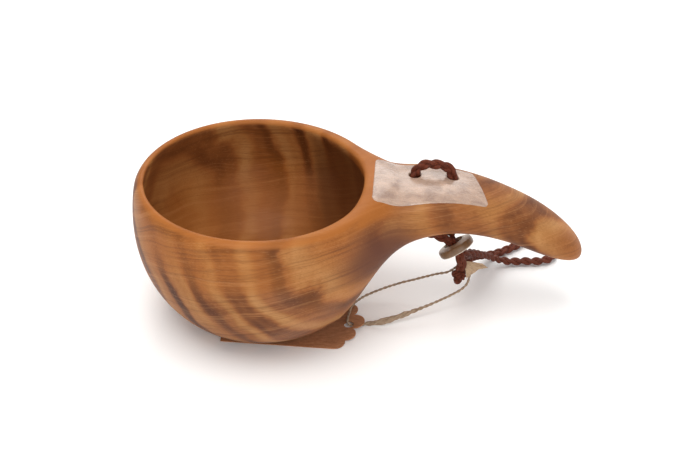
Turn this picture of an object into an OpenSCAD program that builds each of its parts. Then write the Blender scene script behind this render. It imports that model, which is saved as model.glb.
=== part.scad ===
// Carved wooden cup (kuksa) with an antler inlay, a leather carrying loop and a card tag.
// Millimetres, +Z up. The origin is on the table, under the centre of the bowl; +X runs along the handle.

/* [Bowl] */
// largest outer radius of the bowl
bowl_r = 50.6; // [48:0.1:54]
// height of the rim above the table
rim_z = 63; // [60:0.5:68]
// height at which the bowl is widest
widest_z = 46.7; // [44:0.1:49]
// depth of the round outside below the widest height, before the base is cut flat
round_depth = 53.3; // [50:0.1:58]
// squareness of the lower outside, 2 is an ellipse
bowl_square = 2.1; // [2:0.05:2.4]
// inner radius of the bowl at its lip
lip_r = 43.8; // [42:0.1:44.5]
// thickness of the bowl's floor, at its centre
floor_t = 10; // [8:0.5:12]

/* [Handle] */
// distance from the bowl's axis to the handle's tip
reach = 132; // [125:1:140]
// height of the handle's centre line where it leaves the bowl
root_z = 47.7; // [46:0.1:50]
// height of the handle's centre line at its tip
tip_z = 31.6; // [28:0.1:34]
// downward slope of the handle at its tip, in degrees
tip_slope = 29.7; // [25:0.1:33]
// thickness of the handle beyond the inlay
handle_t = 17.4; // [16:0.1:19]
// thickness of the handle where it leaves the bowl
root_t = 28.2; // [26:0.1:30]
// width of the handle where it leaves the bowl
root_w = 48; // [44:0.5:50]
// width of the handle near its tip
tip_w = 26; // [24:0.5:28]
// softness of the joint between bowl and handle
blend = 13.2; // [10:0.2:15]

/* [Inlay] */
// height of the pocket's domed floor, at its middle
pocket_z = 61.8; // [61:0.1:62]
// length of the rounding at the inlay's corners
inlay_corner = 4; // [2:0.5:6]

/* [Cord] */
// thickness of the braided leather cord
cord_d = 3.6; // [3.2:0.1:3.6]
// width of the two cord holes
hole_d = 4.6; // [4.2:0.1:5]
// distance between the two cord holes
hole_gap = 15.2; // [15:0.1:15.4]
// largest thickness of the knot
knot_d = 6.4; // [6:0.1:6.5]

/* [Antler ring] */
// outside width of the antler ring
ring_d = 15.6; // [14.5:0.1:16]
// width of the hole in the antler ring
ring_bore = 8.4; // [8.3:0.1:8.8]
// thickness of the antler ring at its edge
ring_edge = 3; // [2.6:0.1:3.2]
// extra thickness of the domed face at its middle
ring_dome = 1.6; // [1.2:0.1:2]

/* [Tag] */
// length of the card tag
tag_l = 58; // [56:0.5:59]
// width of the card tag
tag_w = 34.6; // [34:0.2:35]
// thickness of the card tag
tag_t = 0.45; // [0.4:0.01:0.5]
// width of the punched hole
tag_hole = 4; // [3.6:0.1:4.2]
// how far the punched end is lifted, in degrees
tag_lift = 7.5; // [7:0.1:8]
// thickness of the paper string
string_d = 1; // [0.8:0.05:1]

/* [Hidden] */
$fn = 64;
TINY = 0.000001;
SIDES = 8;             // sides of a cord or string
STATIONS = 58;         // cross sections along the cup
SPOKES = 48;           // points around each cross section
HALVINGS = 17;         // steps of each surface search
SEARCH_R = 80;         // farther out than any point of a cross section
upper_round = 62.7;    // upward half height of the nearly straight upper wall
lip_blend = 5;         // softness of the outer lip
heel = 0.2;            // how much farther the foot reaches on the handle's side, as a share of its radius
heel_z = 40;           // the foot's longer side fades out at this height
root_x = 42;           // the handle's own solid starts here, inside the bowl's wall
handle_x0 = 48.6;      // where the handle's own measures start
handle_len = reach - handle_x0;
handle_square = 2.3;   // squareness of the handle's cross section
cap_len = 25.4;        // length of the rounded end of the handle
cap_x = reach - cap_len;
base_z = tag_t;        // the cup stands on the tag
cavity_x = -1.9;       // the bowl is hollowed a little off centre
cavity_z = 46;         // height at which the hollow is widest
cavity_r = lip_r + 1.5;
cavity_up = 54;        // upward half height of the hollow
cavity_square = 2.2;   // squareness of the hollow
lip_round = 2;         // rounding of the inner lip
hole_x = 61.3;         // first cord hole
hole_y = 2.5;          // both cord holes
ring_pos = [80.8, hole_y, 29.2];
ring_tilt = -39.3;     // lean of the ring, in degrees
ring_turn = -32;       // direction in which it leans, turned about Z from the handle's line
knot_pos = [82.7, 0.2, 16.9];
pocket_x = 66.5;       // middle of the pocket's domed floor
pocket_r = 45;         // its radius across the handle, and half its height
pocket_long = 56;      // its half length along the handle
exit_a = [hole_x, hole_y, 41.2];
exit_b = [hole_x + hole_gap, hole_y, 45.4];
tag_pos = [43.7, -13.4, 0];
tag_turn = -4.3;       // turn of the tag on the table, in degrees
tag_fold = 11.5;       // distance from the tag's end to its crease
scallop_r = 4.2;       // radius of the tag's scallops
hole_at = [-6.4, -2];  // the punched hole, from the tag's end
fold_pos = [85.2, 1.6, 22.8];
fold_lean = 55.4;      // lean of the folded paper end, in degrees
fold_t = 0.5;          // thickness of the folded paper end

// centre line of the cord over the handle, from one underside exit to the other
bridge_path = [
    exit_a,
    [hole_x, hole_y, 50],
    [hole_x, hole_y, 63.5],
    [hole_x + 1, hole_y, 66.8],
    [hole_x + 3.6, hole_y, 68.7],
    [hole_x + hole_gap / 2, hole_y, 69],
    [exit_b[0] - 3.4, hole_y, 68.2],
    [exit_b[0] - 0.9, hole_y, 66],
    [exit_b[0], hole_y, 62.5],
    [exit_b[0], hole_y, 54],
    exit_b
];

// centre line of the carrying loop, from the second exit through the ring to the knot
loop_path = [
    exit_b,
    [76.7, 2.7, 41.6],
    [77.4, 4, 37],
    [78.7, 5.3, 33.2],
    [79.8, 5.2, 30.7],
    [81.2, 4.3, 28.7],
    [82.6, 3.5, 26.7],
    [84.6, 4.6, 24.6],
    [87.6, 8.8, 22.2],
    [91.2, 14.2, 18.2],
    [95, 19.6, 13.6],
    [99, 25, 8.6],
    [103.4, 29, 4.6],
    [109, 30.8, 2.3],
    [116, 31.6, 2],
    [122.4, 32, 2],
    [128, 34.4, 2],
    [130, 40, 2],
    [128, 45.6, 2],
    [122.4, 48, 2],
    [117, 46.4, 2],
    [112.4, 42.6, 2],
    [107.4, 39, 2],
    [101.8, 35.2, 2.8],
    [97, 30.2, 5.6],
    [92.6, 24, 9.4],
    [89, 17, 13.2],
    [86.4, 9.6, 16.4],
    [83.7, 2.7, 16.8]
];

// centre line of the cord's other end, from the first exit through the ring to the knot
tail_path = [
    exit_a,
    [62.2, 2.4, 39],
    [65.4, 2.2, 37.6],
    [70, 1.9, 36.2],
    [75, 1.5, 34.3],
    [78.9, 1.4, 31.8],
    [80.4, 0.7, 29.7],
    [81.8, -0.2, 27.7],
    [82.9, -0.8, 25],
    [83.3, -0.6, 22],
    [82.9, 0, 19.6]
];

// centre line of the paper string, from the fold under the ring through the tag's hole and back
string_path = [
    [85.4, 1.4, 22.2],
    [86.8, 0, 19.8],
    [87, -1.2, 17],
    [86, -2.4, 13.8],
    [83.6, -3, 11.2],
    [80, -3.8, 9.2],
    [72.6, -6.6, 6.9],
    [64.8, -9.4, 4.9],
    [56.8, -12.2, 3.2],
    [50.2, -13.9, 1.9],
    [44.6, -13.8, 0.75],
    [39.6, -14.4, 0.6],
    [37.2, -14.7, 1],
    [36.6, -13.2, 2.3],
    [37.4, -9, 2.5],
    [38.6, -4.4, 2.7],
    [43.2, 1.6, 2.8],
    [51, 4.6, 5],
    [58.8, 5.8, 7.5],
    [66.5, 6, 10],
    [74, 5.2, 13.2],
    [78.6, 4.4, 15],
    [81.6, 4.6, 17.2],
    [83.6, 4, 20],
    [84.9, 2.8, 22.2]
];

// the flat folded paper beside the knot, as seen square on: right and up from its fold
fold_outline = [
    [-0.4, 0.2],
    [6.9, -0.8],
    [9.4, -2.5],
    [5.3, -3.3],
    [4.1, -4.5],
    [1.6, -6.1],
    [0.6, -7.3],
    [-0.1, -3.3]
];

// ---- the cup's outer shape, as signed distances that are below zero inside it ----

function soft_min(a, b, k) =
    let (h = min(1, max(0, 0.5 + 0.5 * (b - a) / k)))
    b * (1 - h) + a * h - k * h * (1 - h);

function heel_stretch(x, z) =
    x > 0 ? 1 + heel * pow(min(1, max(0, 1 - z / heel_z)), 4) : 1;

function bowl_at(x, y, z) =
    let (
        r = norm([x / heel_stretch(x, z), y]),
        dz = z - widest_z,
        half = dz > 0 ? upper_round : round_depth,
        n = dz > 0 ? 2 : bowl_square,
        rho = pow(pow(r / bowl_r, n) + pow(abs(dz) / half, n), 1 / n),
        side = norm([r, dz]) * (1 - 1 / max(rho, TINY))
    )
    -soft_min(-side, rim_z - z, lip_blend);

function left_over(x) = max(0, 1 - (x - handle_x0) / handle_len);

function handle_z(x) =
    let (
        v = left_over(x),
        drop = tan(tip_slope) * handle_len
    )
    tip_z + drop * v - (tip_z + drop - root_z) * pow(v, 3);

function handle_half_t(x) =
    let (v = left_over(x))
    handle_t / 2 - 0.6 * (1 - v) + (root_t - handle_t) / 2 * pow(v, 4.5);

function handle_half_w(x) =
    let (v = left_over(x))
    tip_w / 2 + 7 * v + (root_w / 2 - tip_w / 2 - 7) * pow(v, 4);

function handle_at(x, y, z) =
    let (
        n = handle_square,
        cap = max(0, x - cap_x),
        dz = z - handle_z(x),
        rho = pow(
            pow(abs(y) / handle_half_w(x), n) + pow(abs(dz) / handle_half_t(x), n)
            + pow(cap / cap_len, n),
            1 / n
        )
    )
    norm([cap, y, dz]) * (1 - 1 / max(rho, TINY));

function cup_at(x, y, z) = soft_min(bowl_at(x, y, z), max(handle_at(x, y, z), root_x - x), blend);

// ---- the outer shape as one closed skin of cross sections ----

function ramp(x, a, b) =
    let (t = min(1, max(0, (x - a) / (b - a))))
    t * t * (3 - 2 * t);

function core_z(x) =
    let (t = ramp(x, 28, 56))
    widest_z * (1 - t) + handle_z(x) * t;

function reach_out(x, zc, c, s, lo, hi, steps) =
    let (mid = (lo + hi) / 2)
    steps == 0 ? mid
    : cup_at(x, mid * c, zc + mid * s) < 0 ? reach_out(x, zc, c, s, mid, hi, steps - 1)
    : reach_out(x, zc, c, s, lo, mid, steps - 1);

function station_x(i) =
    let (
        mid = (reach - bowl_r) / 2,
        half = (reach + bowl_r) / 2
    )
    mid - half * cos(180 * i / STATIONS);

// direction of the lip within a cross section, so that one row of points follows it
function lip_angle(x) =
    let (
        t = ramp(x, 44, 66),
        half = sqrt(max(pow(bowl_r - 1.4, 2) - x * x, 200))
    )
    atan2(rim_z - 0.8 - core_z(x), half) * (1 - t) + 38 * t;

// directions from straight down round to straight up, closest together at the lip
function spoke_angle(x, k) =
    let (
        l = lip_angle(x),
        below = round(SPOKES / 3),
        above = SPOKES / 2 - below
    )
    k <= below ? l - (90 + l) * pow(1 - k / below, 1.35)
    : l + (90 - l) * pow((k - below) / above, 1.35);

function section(i) =
    let (
        x = station_x(i),
        zc = core_z(x),
        half = SPOKES / 2
    )
    [for (j = [0:SPOKES - 1])
        let (
            a = j <= half ? spoke_angle(x, j) : 180 - spoke_angle(x, SPOKES - j),
            r = reach_out(x, zc, cos(a), sin(a), 0, SEARCH_R, HALVINGS)
        )
        [x, r * cos(a), zc + r * sin(a)]
    ];

module cup_skin() {
    rows = STATIONS - 1;
    points = [
        for (i = [1:rows]) each section(i),
        [-bowl_r, 0, widest_z],
        [reach, 0, tip_z]
    ];
    first = rows * SPOKES;
    sides = [
        for (i = [0:rows - 2], j = [0:SPOKES - 1])
            let (
                k = (j + 1) % SPOKES,
                a = i * SPOKES + j,
                b = i * SPOKES + k,
                c = a + SPOKES,
                d = b + SPOKES
            )
            each [[a, c, b], [b, c, d]]
    ];
    near_end = [
        for (j = [0:SPOKES - 1])
            [first, j, (j + 1) % SPOKES]
    ];
    far_end = [
        for (j = [0:SPOKES - 1])
            let (base = (rows - 1) * SPOKES)
            [first + 1, base + (j + 1) % SPOKES, base + j]
    ];
    polyhedron(points, concat(near_end, sides, far_end), convexity = 6);
}

// ---- the hollow, the inlay and the holes ----

function cavity_radius(z) =
    let (
        up = z > cavity_z,
        n = up ? 2 : cavity_square,
        half = up ? cavity_up : cavity_z - base_z - floor_t
    )
    cavity_r * pow(max(0, 1 - pow(abs(z - cavity_z) / half, n)), 1 / n);

module cavity() {
    bottom = base_z + floor_t;
    lip_z = rim_z - 0.4 - lip_round;
    lip_x = cavity_radius(lip_z);
    wall = [
        for (i = [0:14])
            let (z = lip_z - (lip_z - bottom) * sin(90 * i / 14))
            [i == 14 ? 0 : cavity_radius(z), z]
    ];
    lip = [
        for (i = [5:-1:1])
            let (a = 75 * i / 5)
            [lip_x + lip_round * (1 - cos(a)), lip_z + lip_round * sin(a)]
    ];
    top = [[0, rim_z + 20], [lip[0][0], rim_z + 20]];
    translate([cavity_x, 0, 0])
        rotate_extrude($fn = 96)
            polygon(concat(top, lip, wall));
}

inlay_corners = [[45.9, 12.8], [43.5, -17.5], [90.2, -11.8], [85.3, 10]];

function unit(v) = v / max(norm(v), TINY);

function soft_corner(before, at, after, l) =
    let (
        a = at + unit(before - at) * l,
        b = at + unit(after - at) * l
    )
    [for (t = [0:0.2:1]) a * (1 - t) * (1 - t) + at * 2 * t * (1 - t) + b * t * t];

module inlay_block() {
    n = len(inlay_corners);
    outline = [
        for (i = [0:n - 1])
            each soft_corner(
                inlay_corners[(i + n - 1) % n],
                inlay_corners[i],
                inlay_corners[(i + 1) % n],
                inlay_corner
            )
    ];
    difference() {
        translate([0, 0, pocket_z - 15])
            linear_extrude(rim_z + 27 - pocket_z)
                polygon(outline);
        translate([pocket_x, 0, pocket_z - pocket_r])
            scale([pocket_long / pocket_r, 1, 1])
                sphere(r = pocket_r, $fn = 96);
    }
}

module cord_holes() {
    for (x = [hole_x, hole_x + hole_gap])
        translate([x, hole_y, 20])
            cylinder(d = hole_d, h = 60);
}

module cup_body() {
    color([0.62, 0.38, 0.2])
        difference() {
            cup_skin();
            translate([-100, -100, -50])
                cube([300, 200, 50 + base_z]);
            cavity();
            inlay_block();
            cord_holes();
        }
}

module antler_inlay() {
    color([0.78, 0.74, 0.68])
        difference() {
            intersection() {
                cup_skin();
                inlay_block();
            }
            cord_holes();
        }
}

// ---- cords and string, as tubes swept along their centre lines ----

function tangent(p, i) = unit(p[min(i + 1, len(p) - 1)] - p[max(i - 1, 0)]);

function upright(t) = unit(cross(t, abs(t[1]) < 0.9 ? [0, 1, 0] : [1, 0, 0]));

function side_dirs(p, i, last, acc) =
    i == len(p) ? acc
    : let (
        t = tangent(p, i),
        n = i == 0 ? upright(t) : unit(last - t * (last * t))
    )
    side_dirs(p, i + 1, n, concat(acc, [n]));

module tube(p, d) {
    n = len(p);
    dirs = side_dirs(p, 0, [0, 0, 0], []);
    points = [
        for (i = [0:n - 1], j = [0:SIDES - 1])
            let (
                t = tangent(p, i),
                u = dirs[i],
                v = cross(t, u),
                a = 360 * (j + 0.5) / SIDES
            )
            p[i] + (u * cos(a) + v * sin(a)) * d / 2
    ];
    sides = [
        for (i = [0:n - 2], j = [0:SIDES - 1])
            let (
                k = (j + 1) % SIDES,
                a = i * SIDES + j,
                b = i * SIDES + k
            )
            each [[a, b, a + SIDES], [b, b + SIDES, a + SIDES]]
    ];
    start = [[for (j = [SIDES - 1:-1:0]) j]];
    end = [[for (j = [0:SIDES - 1]) (n - 1) * SIDES + j]];
    polyhedron(points, [for (f = concat(start, sides, end)) [for (k = [len(f) - 1:-1:0]) f[k]]], convexity = 10);
}

module cord_bridge() {
    color([0.3, 0.12, 0.08])
        tube(bridge_path, cord_d);
}

module lanyard_loop() {
    color([0.33, 0.13, 0.09])
        tube(loop_path, cord_d);
}

module lanyard_tail() {
    color([0.36, 0.15, 0.1])
        tube(tail_path, cord_d);
}

module lanyard_knot() {
    color([0.28, 0.11, 0.07])
        difference() {
            union() {
                translate(knot_pos)
                    sphere(d = knot_d);
                translate(knot_pos - [0, 0, 1.2])
                    sphere(d = knot_d - 1);
            }
            // the loop and the tail end on flats of the knot
            tail_end = tail_path[len(tail_path) - 1];
            loop_end = loop_path[len(loop_path) - 1];
            flat_at(tail_end, knot_pos);
            flat_at(loop_end, knot_pos);
        }
}

// removes everything beyond a plane through p, on the side away from q
module flat_at(p, q) {
    d = unit(p - q);
    translate(p)
        rotate([0, acos(d[2]), atan2(d[1], d[0])])
            translate([-10, -10, 0])
                cube(20);
}

module antler_ring() {
    dome_r = (ring_d * ring_d / 4 + ring_dome * ring_dome) / (2 * ring_dome);
    half = ring_edge / 2;
    color([0.72, 0.66, 0.58])
        translate(ring_pos)
            rotate([0, ring_tilt, ring_turn])
                difference() {
                    intersection() {
                        translate([0, 0, -half])
                            cylinder(d = ring_d, h = ring_edge + ring_dome);
                        translate([0, 0, half + ring_dome - dome_r])
                            sphere(r = dome_r);
                    }
                    translate([0, 0, -10])
                        cylinder(d = ring_bore, h = 20);
                }
}

// ---- the tag, its string and the folded paper beside the knot ----

// angle on the circle at a, of radius ra, where it meets the circle at b, of radius rb; side is 1 or -1
function meet_angle(a, ra, b, rb, side) =
    let (
        d = norm(b - a),
        turn = acos((d * d + ra * ra - rb * rb) / (2 * d * ra))
    )
    atan2(b[1] - a[1], b[0] - a[0]) + side * turn;

function arc(c, r, from, to, n) =
    [for (i = [0:n]) c + r * [cos(from + (to - from) * i / n), sin(from + (to - from) * i / n)]];

// the near half of the tag's edge, from its plain end to its point
function tag_edge() =
    let (
        r = scallop_r,
        shoulder = [-11.5, r - tag_w / 2],
        middle = [-7.4, -7.9],
        point = [-4.4, 0],
        point_r = r + 0.2
    )
    concat(
        [[-tag_l, -tag_w / 2]],
        arc(shoulder, r, -90, meet_angle(shoulder, r, middle, r, -1), 5),
        arc(middle, r, meet_angle(middle, r, shoulder, r, 1), meet_angle(middle, r, point, point_r, -1), 7),
        arc(point, point_r, meet_angle(point, point_r, middle, r, 1), 0, 5)
    );

module tag_outline() {
    near = tag_edge();
    far = [for (i = [len(near) - 2:-1:0]) [near[i][0], -near[i][1]]];
    polygon(concat(near, far));
}

// the card lies flat up to its crease, and its punched end rises from there
module hang_tag() {
    past = 5;
    rise = (tag_fold + past) * tan(tag_lift);
    color([0.5, 0.35, 0.22])
        translate(tag_pos)
            rotate([0, 0, tag_turn])
                difference() {
                    intersection() {
                        translate([0, 0, -1])
                            linear_extrude(10)
                                tag_outline();
                        rotate([90, 0, 0])
                            translate([0, 0, -tag_w])
                                linear_extrude(2 * tag_w)
                                    polygon([
                                        [-tag_l - past, 0],
                                        [-tag_fold, 0],
                                        [past, rise],
                                        [past, rise + tag_t],
                                        [-tag_fold, tag_t],
                                        [-tag_l - past, tag_t]
                                    ]);
                    }
                    translate([hole_at[0], hole_at[1], -1])
                        cylinder(d = tag_hole, h = 10);
                }
}

module string_wrap() {
    color([0.85, 0.8, 0.7])
        translate(fold_pos)
            rotate([fold_lean, 0, 0])
                linear_extrude(fold_t)
                    polygon(fold_outline);
}

module tag_string() {
    color([0.8, 0.74, 0.62])
        tube(string_path, string_d);
}

cup_body();
antler_inlay();
cord_bridge();
antler_ring();
lanyard_loop();
lanyard_tail();
lanyard_knot();
tag_string();
string_wrap();
hang_tag();
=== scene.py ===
import math

import bpy
import bmesh
import numpy as np
from mathutils import Matrix, Vector, noise


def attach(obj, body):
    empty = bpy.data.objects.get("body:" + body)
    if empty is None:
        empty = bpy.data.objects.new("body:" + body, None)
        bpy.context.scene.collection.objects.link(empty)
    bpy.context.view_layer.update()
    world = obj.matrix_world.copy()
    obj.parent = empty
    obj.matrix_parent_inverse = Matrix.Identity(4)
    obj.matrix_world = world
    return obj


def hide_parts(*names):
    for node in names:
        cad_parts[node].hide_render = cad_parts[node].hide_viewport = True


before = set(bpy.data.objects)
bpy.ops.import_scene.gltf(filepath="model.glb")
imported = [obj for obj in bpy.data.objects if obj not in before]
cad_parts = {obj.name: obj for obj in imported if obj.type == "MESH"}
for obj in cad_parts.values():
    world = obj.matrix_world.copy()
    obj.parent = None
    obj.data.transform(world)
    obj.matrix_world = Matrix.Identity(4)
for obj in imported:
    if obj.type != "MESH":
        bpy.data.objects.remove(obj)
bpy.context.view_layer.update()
MM = 0.001
scene = bpy.context.scene

# ---------------------------------------------------------------- camera

AZ, EL, ROLL = math.radians(2.2), math.radians(34.55), math.radians(2.6)
DISTANCE = 0.510
fwd = Vector((math.sin(AZ) * math.cos(EL), math.cos(AZ) * math.cos(EL), -math.sin(EL)))
right = Vector((math.cos(AZ), -math.sin(AZ), 0))
up = right.cross(fwd)
right = right * math.cos(ROLL) + up * math.sin(ROLL)
up = right.cross(fwd)
cam_data = bpy.data.cameras.new("camera")
cam = bpy.data.objects.new("camera", cam_data)
scene.collection.objects.link(cam)
target = Vector((36.5, 0, 36.5)) * MM
m = Matrix((right, up, -fwd)).transposed().to_4x4()
m.translation = target - fwd * DISTANCE
cam.matrix_world = m
cam_data.lens = 64.36
cam_data.sensor_width = 36
cam_data.sensor_fit = "HORIZONTAL"
cam_data.clip_start = 0.01
cam_data.clip_end = 20
scene.camera = cam

# ---------------------------------------------------------------- helpers


def add_mesh(name, verts, faces, material):
    """A smooth mesh in metres with one material."""
    me = bpy.data.meshes.new(name)
    me.from_pydata([tuple(v) for v in verts], [], [tuple(f) for f in faces])
    me.update()
    me.polygons.foreach_set("use_smooth", [True] * len(me.polygons))
    me.materials.append(material)
    ob = bpy.data.objects.new(name, me)
    scene.collection.objects.link(ob)
    return ob


def unit(v):
    v = np.asarray(v, float)
    n = np.linalg.norm(v, axis=-1, keepdims=True)
    return v / np.maximum(n, 1e-12)


def spline(points, step):
    """A smooth line through the points, evenly spaced by about step."""
    p = np.asarray(points, float)
    p = np.vstack([2 * p[0] - p[1], p, 2 * p[-1] - p[-2]])
    out = []
    for i in range(1, len(p) - 2):
        a, b, c, d = p[i - 1], p[i], p[i + 1], p[i + 2]
        ab, bc, cd = [max(np.linalg.norm(q) ** 0.5, 1e-6) for q in (b - a, c - b, d - c)]
        m1 = bc * ((b - a) / ab - (c - a) / (ab + bc)) + (c - b)
        m2 = bc * ((d - c) / cd - (d - b) / (bc + cd)) + (c - b)
        for t in np.linspace(0, 1, 24, endpoint=False):
            h = (2 * t**3 - 3 * t**2 + 1, t**3 - 2 * t**2 + t, -2 * t**3 + 3 * t**2, t**3 - t**2)
            out.append(h[0] * b + h[1] * m1 + h[2] * c + h[3] * m2)
    out.append(p[-2])
    out = np.array(out)
    s = np.r_[0, np.cumsum(np.linalg.norm(np.diff(out, axis=0), axis=1))]
    n = max(4, int(round(s[-1] / step)) + 1)
    t = np.linspace(0, s[-1], n)
    return np.stack([np.interp(t, s, out[:, k]) for k in range(3)], 1), t


def tangents(p):
    t = np.gradient(p, axis=0)
    return unit(t)


def sweep(p, u, v, ru, rv, sides, closed=False):
    """Vertices and faces of a tube round p, with radii ru along u and rv along v."""
    ru = np.broadcast_to(ru, (len(p),))
    rv = np.broadcast_to(rv, (len(p),))
    a = np.linspace(0, 2 * np.pi, sides, endpoint=False)
    ring = p[:, None] + (u * ru[:, None])[:, None] * np.cos(a)[None, :, None]
    ring = ring + (v * rv[:, None])[:, None] * np.sin(a)[None, :, None]
    n = len(p)
    verts = ring.reshape(-1, 3)
    faces = []
    for i in range(n if closed else n - 1):
        for j in range(sides):
            k = (j + 1) % sides
            b = (i + 1) % n
            faces.append((i * sides + j, i * sides + k, b * sides + k, b * sides + j))
    if not closed:
        faces.append(tuple(range(sides - 1, -1, -1)))
        faces.append(tuple((n - 1) * sides + j for j in range(sides)))
    return verts, faces


class Join:
    """Collects parts of one mesh, with a coordinate pair along and round each part."""

    def __init__(self):
        self.v, self.f, self.c = [], [], []

    def add(self, verts, faces, along=None, sides=None, seed=0.0):
        base = len(self.v)
        self.v.extend(map(tuple, verts))
        self.f.extend(tuple(i + base for i in f) for f in faces)
        if along is None:
            self.c.extend([(0, 0, seed)] * len(verts))
        else:
            for s in along:
                for j in range(sides):
                    a = 2 * math.pi * j / sides
                    self.c.append((s, math.cos(a), math.sin(a) + seed))

    def make(self, name, mat):
        ob = add_mesh(name, np.array(self.v) * MM, self.f, mat)
        at = ob.data.attributes.new("lay", "FLOAT_VECTOR", "POINT")
        at.data.foreach_set("vector", [x for c in self.c for x in c])
        return ob


# ---------------------------------------------------------------- materials


class Nodes:
    """A material with one Principled shader, and short calls that add nodes to it."""

    def __init__(self, name):
        self.mat = bpy.data.materials.new(name)
        self.mat.use_nodes = True
        self.t = self.mat.node_tree
        self.t.nodes.clear()
        self.out = self.t.nodes.new("ShaderNodeOutputMaterial")
        self.bsdf = self.t.nodes.new("ShaderNodeBsdfPrincipled")
        self.link(self.bsdf.outputs[0], self.out.inputs[0])
        self.coord = self.t.nodes.new("ShaderNodeTexCoord").outputs["Object"]

    def link(self, a, b):
        self.t.links.new(a, b)

    def set(self, socket, value):
        if isinstance(value, (int, float, tuple, list)):
            if isinstance(value, (tuple, list)) and len(value) == 3 and socket.type == "RGBA":
                value = (*value, 1)
            socket.default_value = value
        else:
            self.link(value, socket)

    def math(self, op, a, b=0.0, c=None, clamp=False):
        n = self.t.nodes.new("ShaderNodeMath")
        n.operation = op
        n.use_clamp = clamp
        self.set(n.inputs[0], a)
        self.set(n.inputs[1], b)
        if c is not None:
            self.set(n.inputs[2], c)
        return n.outputs[0]

    def vec(self, op, a, b=(0, 0, 0), scale=None):
        n = self.t.nodes.new("ShaderNodeVectorMath")
        n.operation = op
        self.set(n.inputs[0], a)
        if scale is not None:
            self.set(n.inputs["Scale"], scale)
        else:
            self.set(n.inputs[1], b)
        return n.outputs[1 if op in ("DOT_PRODUCT", "LENGTH") else 0]

    def scaled(self, xyz, coord=None):
        return self.vec("MULTIPLY", coord or self.coord, tuple(xyz))

    def noise(self, coord, scale=1.0, detail=4.0, rough=0.5, distort=0.0):
        n = self.t.nodes.new("ShaderNodeTexNoise")
        self.link(coord, n.inputs["Vector"])
        n.inputs["Scale"].default_value = scale
        n.inputs["Detail"].default_value = detail
        n.inputs["Roughness"].default_value = rough
        n.inputs["Distortion"].default_value = distort
        return n

    def ramp(self, fac, stops):
        n = self.t.nodes.new("ShaderNodeValToRGB")
        e = n.color_ramp.elements
        while len(e) < len(stops):
            e.new(0.5)
        for k, (pos, col) in zip(range(len(stops)), stops):
            e[k].position = pos
            e[k].color = (col, col, col, 1) if isinstance(col, (int, float)) else (*col, 1)
        self.link(fac, n.inputs[0])
        return n.outputs[0]

    def mix(self, fac, a, b):
        n = self.t.nodes.new("ShaderNodeMix")
        n.data_type = "RGBA"
        n.clamp_factor = True
        self.set(n.inputs[0], fac)
        self.set(n.inputs[6], a)
        self.set(n.inputs[7], b)
        return n.outputs[2]

    def range(self, v, a, b, c=0.0, d=1.0):
        n = self.t.nodes.new("ShaderNodeMapRange")
        n.interpolation_type = "SMOOTHSTEP"
        self.set(n.inputs[0], v)
        for k, x in zip((1, 2, 3, 4), (a, b, c, d)):
            self.set(n.inputs[k], x)
        return n.outputs[0]

    def bump(self, height, strength, distance, normal=None):
        n = self.t.nodes.new("ShaderNodeBump")
        n.inputs["Strength"].default_value = strength
        n.inputs["Distance"].default_value = distance
        self.link(height, n.inputs["Height"])
        if normal is not None:
            self.link(normal, n.inputs["Normal"])
        return n.outputs[0]

    def combine(self, x, y, z=None):
        n = self.t.nodes.new("ShaderNodeCombineXYZ")
        self.link(x, n.inputs[0])
        self.link(y, n.inputs[1])
        if z is not None:
            self.link(z, n.inputs[2])
        return n.outputs[0]

    def attr(self, name):
        n = self.t.nodes.new("ShaderNodeAttribute")
        n.attribute_name = name
        return n.outputs["Vector"]

    def xyz(self, v):
        n = self.t.nodes.new("ShaderNodeSeparateXYZ")
        self.link(v, n.inputs[0])
        return n.outputs


CURL_LONG, CURL_SHORT = 21.0, 9.3       # widths of the curl's two sets of bands
MIDDLE_X, MIDDLE_Z, HOLLOW_R, HOLLOW_H = -1.9, 46.0, 45.3, 38.0
ROOT_FIGURE = (46.0, -24.0, 45.0)       # middle of the dark figure where the handle leaves the bowl


def curl_bands(k, x, y, z, drift, jag):
    """Soft dark and light bands, uneven in width and strength."""
    s = k.math("ADD", x, k.math("MULTIPLY", z, 0.62))
    s = k.math("ADD", s, k.math("MULTIPLY", y, -0.8))
    s = k.math("ADD", s, k.math("MULTIPLY", drift, 34.0))
    s = k.math("ADD", s, k.math("MULTIPLY", jag, 9.0))
    wave = k.math("SINE", k.math("MULTIPLY", s, 2 * math.pi / CURL_LONG))
    second = k.math("SINE", k.math("MULTIPLY", s, 2 * math.pi / CURL_SHORT))
    return wave, k.math("ADD", k.math("MULTIPLY", wave, 0.36), k.math("MULTIPLY", second, 0.13))


def growth_lines(k, x, y, z, lift):
    """Long growth lines, and among them thin dark and thin light ones."""
    g = k.math("ADD", z, k.math("MULTIPLY", y, 0.42))
    g = k.math("ADD", g, k.math("MULTIPLY", x, -0.20))
    g = k.math("ADD", g, k.math("MULTIPLY", lift, 20.0))
    along = k.combine(k.math("MULTIPLY", x, 0.012), k.math("MULTIPLY", g, 0.42), k.math("MULTIPLY", y, 0.012))
    growth = k.noise(along, 1.0, 5.0, 0.68).outputs[0]
    thin = k.combine(k.math("MULTIPLY", x, 0.006), k.math("MULTIPLY", g, 0.20))
    hair = k.noise(thin, 1.0, 2.0, 0.5).outputs[0]
    dark = k.ramp(hair, [(0.0, 0.0), (0.485, 0.0), (0.5, 1.0), (0.515, 0.0), (1.0, 0.0)])
    light = k.ramp(hair, [(0.0, 0.0), (0.585, 0.0), (0.60, 1.0), (0.615, 0.0), (1.0, 0.0)])
    return growth, dark, light


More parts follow.
